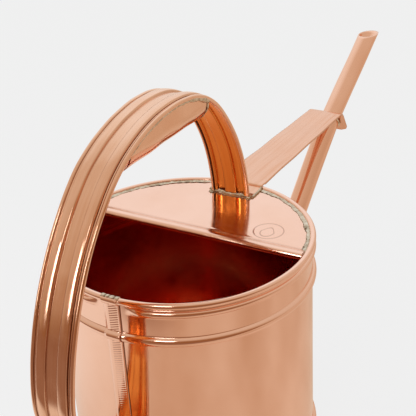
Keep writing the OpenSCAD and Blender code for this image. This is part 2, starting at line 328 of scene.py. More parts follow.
def paint_shade(made, depth):
    """Stores painted shade for each point, from 0 to 1, for the metal to read: darkening painted into
    recesses, creases and gaps.
    """
    layer = made.data.attributes.new("painted_shade", "FLOAT", "POINT")
    layer.data.foreach_set("value", np.clip(depth, 0, 1).ravel().tolist())


def grid_faces(rows, columns, wrap_rows=False, wrap_columns=False, start=0):
    """Quads of a grid of points stored row by row."""
    faces = []
    for i in range(rows if wrap_rows else rows - 1):
        for j in range(columns if wrap_columns else columns - 1):
            a, b = i * columns, (i + 1) % rows * columns
            k = (j + 1) % columns
            faces.append((start + a + j, start + b + j, start + b + k, start + a + k))
    return faces


def loft(sections, wrap=False):
    """Points and faces of a skin over closed sections, capped at both ends unless it wraps round."""
    sections = np.asarray(sections, float)
    rows, columns = sections.shape[:2]
    faces = grid_faces(rows, columns, wrap_rows=wrap, wrap_columns=True)
    if not wrap:
        faces.append(tuple(range(columns - 1, -1, -1)))
        faces.append(tuple((rows - 1) * columns + k for k in range(columns)))
    return sections.reshape(-1, 3), faces


def ripple(points, depth, size, seed=0.0):
    """Moves points by a smooth vector noise, so that both faces of a sheet move together."""
    points = np.array(points, float)
    random = np.random.default_rng(int(seed * 10))
    shift = np.zeros_like(points)
    for _ in range(7):
        wave = random.normal(size=3)
        wave *= 2 * math.pi / (size * random.uniform(1.0, 2.2) * np.linalg.norm(wave))
        push = random.normal(size=3) / math.sqrt(7)
        shift += np.sin(points @ wave + random.uniform(0, 2 * math.pi))[:, None] * push
    return points + depth * shift


def smoothstep(t):
    """Rises smoothly from 0 at t = 0 to 1 at t = 1."""
    t = np.clip(t, 0, 1)
    return t * t * (3 - 2 * t)


def unit(vectors):
    """Vectors, one in each row, brought to length 1."""
    return vectors / np.linalg.norm(vectors, axis=1)[:, None]


def running_total(steps):
    """Sum of the steps up to each point, from 0 at the first point."""
    return np.concatenate(([0], np.cumsum(steps)))


def step_lengths(points):
    """Distance from each point to the next."""
    return np.linalg.norm(np.diff(points, axis=0), axis=1)


def full_turn(count):
    """Angles of so many even steps round a circle, from 0."""
    return np.linspace(0, 2 * math.pi, count + 1)[:-1]


def offset_line(line, distance):
    """Moves an open 2-D line sideways."""
    line = np.asarray(line, float)
    along = unit(np.gradient(line, axis=0))
    return line + distance * np.stack((-along[:, 1], along[:, 0]), 1)


def sheet_section(line, thickness):
    """Closed section of a sheet that follows a 2-D line, with rounded ends."""
    a, b = offset_line(line, thickness / 2), offset_line(line, -thickness / 2)
    return np.concatenate((a, b[::-1]))


def rope(name, path, radius, across, *nodes, seed=0.0, closed=False):
    """Bead of solder run along a path, a little thicker here and thinner there."""
    path = np.asarray(path, float)
    if closed:
        along = np.roll(path, -1, axis=0) - np.roll(path, 1, axis=0)
    else:
        along = np.gradient(path, axis=0)
    along = unit(along)
    side = unit(np.cross(along, across))
    third = np.cross(along, side)
    k = np.arange(len(path)) / len(path) * 2 * math.pi
    r = radius * (1 + 0.18 * np.sin(7 * k + seed) + 0.14 * np.sin(18 * k + 2 * seed))
    angles = full_turn(12)[None, :, None]
    ring = np.cos(angles) * side[:, None] + np.sin(angles) * third[:, None]
    points, faces = loft(path[:, None] + r[:, None, None] * ring, wrap=closed)
    piece(name, ripple(points, 0.12, 2.4, seed), faces, SOLDER_METAL, "solder", *nodes)


# ---- body -----------------------------------------------------------------------------------

def bead_height(z, bead_z, bead):
    """How far a bead stands out of the wall at height z, with small fillets at its edges."""
    sink = (bead["half"] ** 2 - bead["proud"] ** 2) / (2 * bead["proud"])
    arc = sink + bead["proud"]
    d = np.abs(z - bead_z)
    out = np.where(d < arc * 0.9, np.sqrt(np.maximum(arc ** 2 - d ** 2, 0)) - sink,
                   math.sqrt(arc ** 2 * 0.19) - sink - (d - arc * 0.9) * 2)
    fillet = 0.35
    return 0.5 * (out + np.sqrt(out ** 2 + fillet ** 2))


# Height of each bead, its shape, and how far beside the seam it fades out, which is 0 for one
# that runs under the seam
BEADS = ((8.0, SMALL_BEAD, 9.0), (18.5, BROAD_BEAD, 0),
         (RIM_TOP - 28.0, BROAD_BEAD, 0), (RIM_TOP - 8.0, SMALL_BEAD, 9.0))


def wall_offset(z, angle):
    """Offset of the wall's outer face at height z and angle, where the seam lies at angle pi."""
    across = (math.pi - np.abs(angle)) * WALL_R
    total = np.zeros(np.broadcast(z, angle).shape)
    for bead_z, bead, stop in BEADS:
        fade = smoothstep((across - SEAM_W / 2 - stop + 5) / 10) if stop else 1.0
        total = total + bead_height(z, bead_z, bead) * fade
    return total


def bead_rows():
    """Heights for the wall's rows of points, close together where a bead is."""
    rows = set(np.arange(2.0, RIM_Z - RIM_ROLL, 3.0).round(2))
    for bead_z, bead, _ in BEADS:
        low, high = bead_z - bead["half"] - 1.5, bead_z + bead["half"] + 1.5
        rows |= set(np.arange(low, high, 0.3).round(2))
    return np.array(sorted(z for z in rows if 1.1 < z < RIM_Z - RIM_ROLL - 0.2))


def body_shell():
    """Cylinder with its beads and the rim rolled outwards, bored where the spout leaves it."""
    angles = np.linspace(-math.pi, math.pi, 361)[:-1]
    foot = 1.05
    heights = bead_rows()
    around = np.radians(np.linspace(-78, 243, 30))
    rows = []
    for z in heights:
        rows.append((WALL_R + wall_offset(z, angles), np.full_like(angles, z)))
    for a in around:
        rows.append((np.full_like(angles, RIM_X + RIM_ROLL * math.cos(a)),
                     np.full_like(angles, RIM_Z + RIM_ROLL * math.sin(a))))
    for z in heights[::-1]:
        rows.append((WALL_R - SHEET + wall_offset(z, angles), np.full_like(angles, z)))
    for r in (WALL_R - SHEET, WALL_R):
        rows.append((np.full_like(angles, r), np.full_like(angles, foot)))
    grid = np.array([[(r[k] * math.cos(a), r[k] * math.sin(a), z[k]) for k, a in enumerate(angles)]
                     for r, z in rows])
    points, faces = loft(grid, wrap=True)
    made = piece("body_wall", ripple(points, 0.08, 60), faces, BODY_METAL, "copper_body",
                 "body_shell")
    outside_rows = len(heights) + len(around) - 5
    row = np.arange(len(faces)) // len(angles)
    # The inner face of the wall takes the darker, redder copper of painted shade
    second_metal(made, INSIDE_SHADED_METAL, (row >= outside_rows) & (row < len(grid) - 2))
    bore_for_spout(made)


def bore_for_spout(target):
    """Cuts the spout's way through the wall."""
    axis = Vector((math.cos(LOWER_RISE), 0, math.sin(LOWER_RISE)))
    length = (BEND[0] - WALL_R) / math.cos(LOWER_RISE)
    bpy.ops.mesh.primitive_cylinder_add(vertices=64, radius=(LOWER_R - TUBE_T) * MM, depth=0.05)
    cutter = bpy.context.object
    cutter.rotation_mode = "QUATERNION"
    cutter.rotation_quaternion = axis.to_track_quat("Z", "Y")
    cutter.location = Vector(BEND * MM) - axis * length * MM
    cut = target.modifiers.new("bore", "BOOLEAN")
    cut.object = cutter
    cut.solver = "EXACT"
    bake_modifiers(target)
    bpy.data.objects.remove(cutter)


def bake_modifiers(target):
    """Applies every modifier of a piece to its mesh."""
    bpy.context.view_layer.update()
    finished = target.evaluated_get(bpy.context.evaluated_depsgraph_get())
    mesh = bpy.data.meshes.new_from_object(finished)
    target.modifiers.clear()
    target.data = mesh


def base_plate():
    """Bottom disc with its upturned flange, turned from its profile."""
    outer, top = WALL_R + 1.0, BASE_FLANGE_TOP
    corner = [(outer - 1 + math.sin(a), 1 - math.cos(a)) for a in np.radians(np.linspace(0, 90, 8))]
    under = [(0.01, 0.0), (40, 0.0), (80, 0.0)]
    flange = [(outer, top - 0.4), (outer - 0.2, top), (WALL_R + 0.2, top), (WALL_R + 0.05, top - 0.3)]
    inside = [(WALL_R + 0.05, BASE_T + 0.3), (WALL_R - 0.3, BASE_T), (80, BASE_T), (40, BASE_T),
              (0.01, BASE_T)]
    angles = np.linspace(-math.pi, math.pi, 289)[:-1]
    grid = np.array([[(r * math.cos(a), r * math.sin(a), z) for a in angles]
                     for r, z in under + corner + flange + inside])
    points, faces = loft(grid, wrap=True)
    made = piece("bottom_disc", points, faces, BODY_METAL, "copper_body", "base_plate")
    row = np.arange(len(faces)) // len(angles)
    # The disc's inner face takes the darker, redder copper of painted shade
    second_metal(made, INSIDE_SHADED_METAL, row >= len(under + corner + flange))


body_shell()
base_plate()


# ---- seam -----------------------------------------------------------------------------------

def seam_bow(z):
    """How far the seam swells where the beads run under it."""
    return sum(bead_height(z, bead_z, bead) for bead_z, bead, stop in BEADS if not stop)


def seam():
    """Folded lock seam: a proud strip with a chased diagonal hatch and a step on one side."""
    heights = np.arange(5.0, RIM_Z - RIM_ROLL, 0.3)
    across = np.concatenate(([-SEAM_W / 2 + 0.1], np.linspace(-SEAM_W / 2, SEAM_W / 2, 61)))
    z, y = np.meshgrid(heights, across, indexing="ij")
    edge = SEAM_W / 2 - np.abs(y)
    step = np.where(y < 0, 0.75 + 0.25 * smoothstep(edge / 0.4), smoothstep(edge / 2.4))
    tooth = np.abs((z + 0.35 * y) / HATCH_PITCH % 1 - 0.5) * 2
    between_beads = 1 - smoothstep(seam_bow(z) / 0.8)
    worked = smoothstep((2.2 - y) / 1.2) * smoothstep((edge - 1.0) / 0.8) * between_beads
    hatch = HATCH_DEPTH * smoothstep(tooth) * worked
    r = WALL_R + seam_bow(z) + 0.1 + SEAM_T * step - hatch
    r[:, 0] = WALL_R + seam_bow(heights) - 0.2
    a = math.pi - y / WALL_R
    front = np.stack((r * np.cos(a), r * np.sin(a), z), 2)
    back = front.copy()
    scale = (WALL_R - 0.3) / np.linalg.norm(front[:, :, :2], axis=2)
    back[:, :, :2] *= scale[:, :, None]
    sections = np.concatenate((front, back[:, ::-1]), axis=1)
    points, faces = loft(sections)
    made = piece("lock_seam", points, faces, BODY_METAL, "copper_body", "rear_lock_seam")
    # Painted shade along the seam's stepped edge and in the hatch's grooves
    dark = np.zeros(sections.shape[:2])
    dark[:, :2] = 0.9
    dark[:, 2:len(across)] = 0.12 * (smoothstep(tooth - 0.3) * worked)[:, 2:]
    paint_shade(made, dark)


def rim_patch(name, low, high, half, thick, metal, slot, *nodes, dents=()):
    """Patch of metal over the rolled rim at the seam, between two angles round the roll.

    The angles are in degrees. With dents, at places across the patch, its edge is ragged too."""
    angles = np.radians(np.linspace(low, high, 40))
    turn, y = np.meshgrid(angles, np.linspace(-half, half, 61), indexing="ij")
    edge = np.minimum(half - np.abs(y), np.minimum(turn - angles[0], angles[-1] - turn) * RIM_ROLL)
    dent = np.zeros_like(y)
    if dents:
        edge += 0.25 * np.sin(y * 1.7 + low) + 0.2 * np.sin(turn * 9 + y)
        dent = sum(np.exp(-((y - place) / 0.4) ** 2) for place in dents)
    a = math.pi - y / RIM_X

    def around(r):
        """Points at a distance r from the middle of the rim's roll."""
        out = RIM_X + r * np.cos(turn)
        return np.stack((out * np.cos(a), out * np.sin(a), RIM_Z + r * np.sin(turn)), 2)

    outer = around(RIM_ROLL - 0.1 + (thick + 0.1) * smoothstep(edge / 0.6) * (1 - 0.6 * dent))
    inner = around(np.full_like(turn, RIM_ROLL - 0.4))
    sections = np.concatenate((outer, inner[:, ::-1]), axis=1)
    points, faces = loft(sections)
    made = piece(name, points, faces, metal, slot, *nodes)
    # Painted shade in the dents and along the patch's edges
    dark = np.zeros(sections.shape[:2])
    dark[:, :y.shape[1]] = 0.8 * dent + 0.5 * (1 - smoothstep(edge / 0.35))
    paint_shade(made, dark)


seam()
rim_patch("lock_seam_fold", -70, 62, SEAM_W / 2, 0.7, BODY_METAL, "copper_body")
rim_patch("solder_over_seam", 48, 138, SEAM_W / 2 + 0.6, 0.75, SOLDER_METAL, "solder",
          "solder_seam_top", dents=(-3.2, 0.6, 3.4))


# ---- cover ----------------------------------------------------------------------------------

def cover_height(x, y):
    """Height of the cover's upper face: the lip, a gentle crown, and a drop stamped as a mark."""
    from_edge = x - COVER_EDGE_X
    lip = (LIP_R - 0.9) * (1 - smoothstep((from_edge - 3.2) / (LIP_LEN - 3.2)))
    groove = -0.25 * np.exp(-((from_edge - LIP_LEN - 0.4) / 1.1) ** 2)
    return COVER_TOP + lip + groove - MARK_DEPTH * droplet(x, y)


def droplet(x, y):
    """How deep a plain water drop inside a ring is pressed into the sheet, from 0 to 1."""
    u, v = (x - MARK_X) / MARK_R, (y - MARK_Y) / MARK_R
    ring = np.abs(np.hypot(u, v) - 1.0)
    narrow = 1 + 1.2 * np.clip(u + 0.1, 0, 1)
    drop = np.abs(np.hypot(u * 0.75 + 0.1, v * narrow) - 0.45)
    return np.maximum(np.exp(-(ring / 0.035) ** 2), np.exp(-(drop / 0.035) ** 2))


def top_cover():
    """Half cover: a sheet of rows of points from its rolled lip to the front of the rim."""
    edge = COVER_EDGE_X
    curl = [(edge + LIP_R - LIP_R * math.cos(a), COVER_TOP - SHEET + LIP_R * math.sin(a))
            for a in np.radians(np.linspace(-110, 75, 22))]
    xs = np.concatenate((np.arange(curl[-1][0] + 0.3, edge + LIP_LEN + 3, 0.35),
                         np.arange(edge + LIP_LEN + 3.4, 55, 0.5),
                         np.arange(55, COVER_R, 1.0), [COVER_R - 0.02]))
    v = np.linspace(-1, 1, 381)
    rows = []
    for x, z in curl:
        half = math.sqrt(COVER_R ** 2 - x ** 2)
        rows.append(np.stack((np.full_like(v, x), v * half, np.full_like(v, z)), 1))
    for x in xs:
        half = math.sqrt(max(COVER_R ** 2 - x ** 2, 0.01))
        y = v * half
        rows.append(np.stack((np.full_like(v, x), y, cover_height(x, y)), 1))
    upper = np.array(rows)
    lower = upper.copy()
    lower[:, :, 2] -= SHEET
    shrink = (LIP_R - SHEET) / LIP_R
    for k, (x, z) in enumerate(curl):
        lower[k, :, 0] = edge + LIP_R + (x - edge - LIP_R) * shrink
        lower[k, :, 2] = COVER_TOP - SHEET + (z - COVER_TOP + SHEET) * shrink
    row_count, columns = upper.shape[:2]
    n = row_count * columns
    points = np.concatenate((upper.reshape(-1, 3), lower.reshape(-1, 3)))
    faces = grid_faces(row_count, columns)
    upper_count = len(faces)
    faces += [f[::-1] for f in grid_faces(row_count, columns, start=n)]
    last = (row_count - 1) * columns
    for j in range(columns - 1):
        faces.append((j + 1, j, n + j, n + j + 1)[::-1])
        faces.append((last + j, last + j + 1, n + last + j + 1, n + last + j)[::-1])
    for a in range(0, last, columns):
        b = a + columns
        faces.append((a, b, n + b, n + a))
        faces.append((b + columns - 1, a + columns - 1, n + a + columns - 1, n + b + columns - 1))
    made = piece("half_cover", ripple(points, 0.2, 48, 3.1), faces, COVER_METAL, "copper_cover",
                 "top_cover")
    face = np.arange(len(faces))
    # The cover's underside takes the darker, redder copper of painted shade
    second_metal(made, INSIDE_SHADED_METAL, (face >= upper_count) & (face < len(faces) // 2))
    # Painted shade in the stamped mark's lines and in the groove behind the lip
    stamp_shade = 0.55 * droplet(points[:, 0], points[:, 1]) * (points[:, 2] > COVER_TOP - 0.5)
    groove = np.exp(-((points[:, 0] - edge - LIP_LEN - 0.2) / 0.35) ** 2)
    paint_shade(made, stamp_shade + 0.25 * groove)


top_cover()


# ---- handle ---------------------------------------------------------------------------------

def handle_path(step=1.5):
    """Stations along the strap: distance, x, z and heading, with each change of bend softened."""
    x, z, heading = HANDLE_FOOT
    heading = math.radians(heading)
    turns = [(r * WALL_R * math.radians(a), math.radians(a)) for r, a in BENDS]
    end_x, end_h = x, heading
    for length, turn in turns:
        r = length / turn
        middle_x = end_x - r * math.sin(end_h)
        end_h += turn
        end_x = middle_x + r * math.sin(end_h)
    rear_x = -(WALL_R + 1 + STRAP_T + 0.05)
    run = (rear_x - end_x - REAR_BEND_R * (1 + math.sin(end_h))) / math.cos(end_h)
    back_turn = end_h - math.radians(270)
    turns += [(run, 0.0), (REAR_BEND_R * back_turn, -back_turn), (REAR_FOOT_LEN, 0.0)]
    total = sum(length for length, _ in turns)
    finer = 8
    s = np.linspace(0, total, int(total / step * finer))
    ds = s[1] - s[0]
    knots = running_total([length for length, _ in turns])
    headings = heading + running_total([turn for _, turn in turns])
    h = np.interp(s, knots, headings)
    softened = 14
    width = int(softened / ds) | 1
    before = h[0] - (h[width // 2:0:-1] - h[0])
    after = h[-1] - (h[-2:-width // 2 - 1:-1] - h[-1])
    padded = np.concatenate((before, h, after))
    h = np.convolve(padded, np.ones(width) / width, "valid")[:len(s)]
    dx, dz = np.cos(h), np.sin(h)
    px = x + running_total((dx[1:] + dx[:-1]) / 2) * ds
    pz = z + running_total((dz[1:] + dz[:-1]) / 2) * ds
    keep = slice(None, None, finer)
    return s[keep], px[keep], pz[keep], h[keep]


PATH_S, PATH_X, PATH_Z, PATH_H = handle_path()


def at(index, out, across):
    """Point at a station, so far out of the strap's face and so far across it."""
    return (PATH_X[index] + out * math.sin(PATH_H[index]), across,
            PATH_Z[index] - out * math.cos(PATH_H[index]))


def strap_line():
    """Middle line of the strap's section, as (out, across): two ribs and two curled edges."""
    across = np.concatenate((np.arange(0, RIB_Y - RIB_FOOT, 0.6),
                             np.arange(RIB_Y - RIB_FOOT, RIB_Y + RIB_FOOT, 0.22),
                             np.arange(RIB_Y + RIB_FOOT, STRAP_W / 2 - 2 * CURL_R, 0.4)))
    ramp = smoothstep((RIB_FOOT - np.abs(across - RIB_Y)) / (RIB_FOOT - RIB_CREST))
    crown = 1 - 0.12 * ((across - RIB_Y) / RIB_CREST) ** 2
    flat = np.stack((RIB_H * ramp * np.where(ramp > 0.99, crown, 1.0), across), 1)
    r = CURL_R - STRAP_T / 2
    centre = np.array((-0.1, STRAP_W / 2 - CURL_R))
    curl = [centre + r * np.array((math.sin(a), math.cos(a)))
            for a in np.radians(np.arange(168, -125, -14))]
    half = np.concatenate((flat, curl))
    left = half[:0:-1] * np.array((1, -1))
    return np.concatenate((left, half)) - np.array((STRAP_T / 2, 0))


def handle_strap():
    """Strap along its path; its inner face has a metal of its own, a darker and more orange copper of
    painted shade, and its creases have painted shade.
    """
    section = sheet_section(strap_line(), STRAP_T)
    sections = [[at(k, out, across) for out, across in section] for k in range(len(PATH_S))]
    points, faces = loft(sections)
    points = ripple(ripple(points, 0.15, 42, 5.0), 0.04, 12, 9.0)
    made = piece("handle_strap_sheet", points, faces, STRAP_METAL, "copper_strap", "handle_strap")
    half = len(section) // 2
    inner = np.arange(len(faces)) % len(section) < half
    # The inner face takes the darker, more orange copper of painted shade and painted reflection
    second_metal(made, UNDER_SHADED_METAL, inner)
    y = np.abs(section[:, 1])
    crease = sum(np.exp(-((y - place) / 0.45) ** 2) for place in
                 (RIB_Y - RIB_FOOT, RIB_Y + RIB_FOOT, STRAP_W / 2 - 2 * CURL_R + 0.2))
    patchy = 0.55 + 0.45 * np.sin(PATH_S / 9.0) * np.sin(PATH_S / 23.0 + 1)
    # Painted shade in the creases, darkest low down behind the can
    crease_shade_by_height = 0.3 + 0.6 * smoothstep((215 - PATH_Z) / 70)
    paint_shade(made, crease[None] * (patchy * crease_shade_by_height)[:, None])


def inner_height(x):
    """Height of the inner face of the arch's top part at x."""
    top = PATH_Z > 225
    order = np.argsort(PATH_X[top])
    inner_x = (PATH_X - STRAP_T * np.sin(PATH_H))[top][order]
    inner_z = (PATH_Z + STRAP_T * np.cos(PATH_H))[top][order]
    return np.interp(x, inner_x, inner_z)


def liner_section(x):
    """Half trough below the arch at x, as (across, height), from one edge round to the other."""
    top = inner_height(x) - 0.15
    centre = LINER_BOTTOM + LINER_R
    if top < centre:
        reach = math.acos(max(-1.0, min(1.0, (centre - top) / LINER_R)))
        angles = np.linspace(-reach, reach, 61)
        return [(LINER_R * math.sin(a), centre - LINER_R * math.cos(a)) for a in angles]
    wall = np.linspace(0, top - centre, 13)[1:]
    arc = [(LINER_R * math.sin(a), centre - LINER_R * math.cos(a))
           for a in np.linspace(-math.pi / 2, math.pi / 2, 37)]
    return ([(-LINER_R, centre + w) for w in wall[::-1]] + arc + [(LINER_R, centre + w) for w in wall])


def grip_liner():
    """Trough under the arch, from where it first stands clear of the strap to its front end."""
    start = LINER_BACK
    while inner_height(start) < LINER_BOTTOM + 0.4:
        start += 0.25
    back_end = start + np.array((0, 0.3, 0.8, 1.5, 2.5))
    xs = np.concatenate((back_end, np.arange(start + 4, LINER_FRONT, 2.0), [LINER_FRONT]))
    grid = np.array([[(x, y, z) for y, z in liner_section(x)] for x in xs])
    points = ripple(grid.reshape(-1, 3), 0.3, 24, 7.0)
    faces = grid_faces(len(xs), grid.shape[1])
    made = piece("grip_liner_sheet", points, faces, STRAP_METAL, "copper_strap", "grip_liner")
    thick = made.modifiers.new("thickness", "SOLIDIFY")
    thick.thickness = LINER_T * MM
    thick.offset = 0
    bake_modifiers(made)


handle_strap()
grip_liner()


# ---- spout ----------------------------------------------------------------------------------

def frame_along(rise):
    """Directions along a tube that rises at this angle, to its left side, and up out of it."""
    along = np.array((math.cos(rise), 0, math.sin(rise)))
    side = np.array((0, 1.0, 0))
    return along, side, np.cross(along, side)


def ring_offsets(radius, side, up, count):
    """Offsets from a circle's middle to points round it."""
    return [radius * (math.cos(a) * side + math.sin(a) * up) for a in full_turn(count)]


def cut_distance(origin, along, offset, point, normal):
    """How far along a line from origin + offset a cutting plane lies."""
    return np.dot(point - origin - offset, normal) / np.dot(along, normal)


MEAN_RISE = (LOWER_RISE + UPPER_RISE) / 2
MITRE_NORMAL = np.array((math.cos(MEAN_RISE), 0, math.sin(MEAN_RISE)))
MITRE_POINT = BEND + MITRE_NORMAL * (BRACE_T / 2 + 0.05)
MOUTH_NORMAL = np.array((math.sin(MOUTH_TILT), 0, math.cos(MOUTH_TILT)))


def tube(name, rise, radius, low_cut, high_cut, rows, *nodes):
    """Open tube between two cuts; low_cut and high_cut give the distance for an offset."""
    along, side, up = frame_along(rise)
    sections = []
    for r, run in ((radius, np.linspace(0, 1, rows)), (radius - TUBE_T, np.linspace(1, 0, rows))):
        offsets = ring_offsets(r, side, up, 72)
        cuts = [(low_cut(offset), high_cut(offset)) for offset in offsets]
        for t in run:
            sections.append([BEND + offset + along * (low + (high - low) * t)
                             for offset, (low, high) in zip(offsets, cuts)])
    points, faces = loft(sections, wrap=True)
    piece(name, ripple(points, 0.22, 33, 11.0), faces, TUBE_METAL, "copper_tube", *nodes)


def spout():
    """Both tubes, mitred where they meet, and the solder round the spout's root."""
    low_along = frame_along(LOWER_RISE)[0]
    up_along = frame_along(UPPER_RISE)[0]

    def root(offset):
        """Distance where a line of the tube meets the wall's outer face."""
        low, high = -400.0, -100.0
        for _ in range(40):
            mid = (low + high) / 2
            p = BEND + offset + low_along * mid
            bead = float(wall_offset(np.array(p[2]), np.array(0.0)))
            inside = math.hypot(p[0], p[1]) < WALL_R + bead
            low, high = (mid, high) if inside else (low, mid)
        return low

    def mitre(along):
        """Distance where a line of a tube meets the plane between the two tubes."""
        return lambda offset: cut_distance(BEND, along, offset, MITRE_POINT, MITRE_NORMAL)

    mouth_point = BEND + up_along * UPPER_LEN

    def mouth(offset):
        """Distance where a line of the upper tube meets the slanting mouth."""
        return cut_distance(BEND, up_along, offset, mouth_point, MOUTH_NORMAL)

    tube("spout_lower", LOWER_RISE, LOWER_R, root, mitre(low_along), 60, "spout_lower_tube")
    _, side, raised = frame_along(LOWER_RISE)
    ring = [BEND + offset + low_along * (root(offset) + 0.4)
            for offset in ring_offsets(LOWER_R + 0.5, side, raised, 90)]
    rope("solder_root_ring", ring, 1.3, low_along, "solder_spout_root", seed=6.0, closed=True)
    tube("spout_upper", UPPER_RISE, UPPER_R, mitre(up_along), mouth, 40, "spout_upper_tube")


spout()


# ---- brace ----------------------------------------------------------------------------------

def brace_line():
    """Underside of the brace as (x, z), from the cover over the rim to its end, and the fold's x."""
    fold = BEND + FOLD_ABOVE * np.array((-math.sin(MEAN_RISE), 0, math.cos(MEAN_RISE)))
    end = fold + FOLD_TO_END * np.array((math.sin(MEAN_RISE), 0, -math.cos(MEAN_RISE)))
    foot = HANDLE_FOOT[0] + 2.6
    on_cover, over_rim = COVER_TOP + 0.05, RIM_TOP + 0.1
    line = [(foot, on_cover), (foot + 13, on_cover), (RIM_X - 2, over_rim),
            (RIM_X + 1.5, over_rim), (fold[0], fold[2]), (end[0], end[2])]
    return np.array(line), fold[0]


def brace_strip():
    """Flat strip with hemmed edges between the rim and the fold, and a rounded end."""
    line, fold_x = brace_line()
    stations = []
    for a, b in zip(line, line[1:]):
        count = max(4, int(np.linalg.norm(b - a) / 2.5))
        stations += [a + (b - a) * t for t in np.arange(count) / count]
    stations = np.array(stations + [line[-1]])
    for _ in range(2):
        stations[1:-1] = (stations[:-2] + 2 * stations[1:-1] + stations[2:]) / 4
    tangent = unit(np.gradient(stations, axis=0))
    normal = np.stack((-tangent[:, 1], tangent[:, 0]), 1)
    travelled = running_total(step_lengths(stations))
    fold_at = travelled[-1] - FOLD_TO_END
    end_r = 6
    u = np.linspace(-1, 1, 61)
    upper, lower = [], []
    for p, n, s in zip(stations, normal, travelled):
        t = np.clip((p[0] - RIM_X) / (fold_x - RIM_X), 0, 1)
        half = BRACE_HALF[0] + (BRACE_HALF[1] - BRACE_HALF[0]) * t
        into_end = s - (travelled[-1] - end_r)
        if into_end > 0:
            half -= end_r - math.sqrt(max(end_r ** 2 - into_end ** 2, 0.0))
        y = u * half
        hemmed = p[0] >= RIM_X + 4 and s <= fold_at - 5
        hem = 0.9 * smoothstep((np.abs(y) - half + 4.4) / 0.8) * (1 if hemmed else 0)
        camber = 0.3 * (1 - u[:, None] ** 2)
        top = p[None] + n[None] * (BRACE_T + camber - 0.25 * (hem > 0.1)[:, None])
        bottom = p[None] - n[None] * hem[:, None]
        upper.append(np.stack((top[:, 0], y, top[:, 1]), 1))
        lower.append(np.stack((bottom[:, 0], y, bottom[:, 1]), 1))
    points, faces = loft(np.concatenate((np.array(upper), np.array(lower)[:, ::-1]), axis=1))
    # The brace takes the darker, streaked copper of painted shade and painted reflections
    piece("brace_sheet", ripple(points, 0.25, 26, 13.0), faces, BRACE_SHADED_METAL, "copper_brace",
          "brace_strip")


brace_strip()


# ---- solder ---------------------------------------------------------------------------------

def fillet(name, rows, *nodes, ragged, size, seed):
    """Solder run into a corner. Each row is (end on one sheet, corner, end on the other)."""
    rows = np.asarray(rows, float)
    sections = []
    for a, corner, b in rows:
        wa = 1 + ragged * noise.noise(Vector(a / size) + Vector((seed, 0, 0)))
        wb = 1 + ragged * noise.noise(Vector(b / size) + Vector((0, seed, 3)))
        a2, b2 = corner + (a - corner) * wa, corner + (b - corner) * wb
        hollow = corner + 0.35 * ((a2 + b2) / 2 - corner)
        arc = [(1 - t) ** 2 * a2 + 2 * t * (1 - t) * hollow + t ** 2 * b2
               for t in np.linspace(0, 1, 9)]
        back = corner - 0.18 * ((a2 + b2) / 2 - corner)
        sections.append(arc + [back])
    points, faces = loft(sections)
    piece(name, ripple(points, 0.16, 2.6, seed), faces, SOLDER_METAL, "solder", *nodes)


def line_through(corners, step=0.7):
    """Evenly spaced points along straight runs between corners."""
    corners = np.asarray(corners, float)
    length = running_total(step_lengths(corners))
    s = np.arange(0, length[-1], step)
    return np.stack([np.interp(s, length, corners[:, k]) for k in range(3)], 1)


def handle_front_solder():
    """Fillets where the strap's front foot stands on the cover, before it and behind it."""
    x, low = HANDLE_FOOT[0], COVER_TOP
    y = np.linspace(-STRAP_W / 2 - 1.2, STRAP_W / 2 + 1.2, 150)
    rib = smoothstep((RIB_FOOT - np.abs(np.abs(y) - RIB_Y)) / (RIB_FOOT - RIB_CREST))
    curl = smoothstep((np.abs(y) - STRAP_W / 2 + 3) / 1.0)
    for name, face, out in (("solder_front_inner", x - 0.8 + 0.5 * rib - 1.0 * curl, -1),
                            ("solder_front_outer", x + 1.6 * rib + 0.2 * curl, 1)):
        rows = [((f, v, low + 1.5 + 0.9 * w), (f, v, low), (f + out * 2.3, v, low + 0.1))
                for v, f, w in zip(y, face, rib)]
        fillet(name, rows, "solder_handle_front", ragged=0.35, size=4.0, seed=4.0)


def plain_solder():
    """Beads at the brace's foot, the grip liner, the strap's rear foot and the brace's fold."""
    foot_x, foot_z = HANDLE_FOOT[0] + 0.5, COVER_TOP + 0.5
    rear_x, rear_z = -87.2, PATH_Z[-1]
    for side, tag in ((-1, "right"), (1, "left")):
        y = side * (BRACE_HALF[0] + 0.5)
        beside_brace = line_through([(foot_x, y, foot_z), (82, y, foot_z), (85, y, RIM_TOP + 0.5)])
        rope("solder_brace_foot_" + tag, beside_brace, 0.85, (0, 0, 1), "solder_brace_foot",
             seed=1.0 + side)
        x = np.arange(-74, LINER_FRONT, 0.7)
        beside_liner = np.stack((x, np.full_like(x, side * 14.3), inner_height(x) - 1.5), 1)
        rope("solder_liner_" + tag, beside_liner, 0.6 + 0.9 * smoothstep((x + 20) / 30), (0, 0, 1),
             "solder_grip_liner", seed=5.0 + side)
        y = side * (STRAP_W / 2 + 0.6)
        beside_foot = line_through([(rear_x, y, rear_z - 0.6),
                                    (rear_x, y, rear_z + REAR_FOOT_LEN + 0.6)])
        rope("solder_rear_" + tag, beside_foot, 1.4, (1, 0, 0), "solder_handle_rear",
             seed=8.0 + side)
    section = np.array(liner_section(LINER_FRONT))
    end = np.stack((np.full(len(section), LINER_FRONT + 0.2), section[:, 0], section[:, 1]), 1)
    rope("solder_liner_front", end, 1.0, (1, 0, 0), "solder_grip_liner", seed=3.0)
    centre = BEND - MITRE_NORMAL * (BRACE_T / 2 + 0.9)
    side = np.array((0, 1.0, 0))
    raised = np.cross(MITRE_NORMAL, side)
    ring = [centre + offset for offset in ring_offsets(LOWER_R + 0.6, side, raised, 90)]
    rope("solder_brace_ring", ring, 0.9, MITRE_NORMAL, "solder_brace_spout", seed=2.0, closed=True)


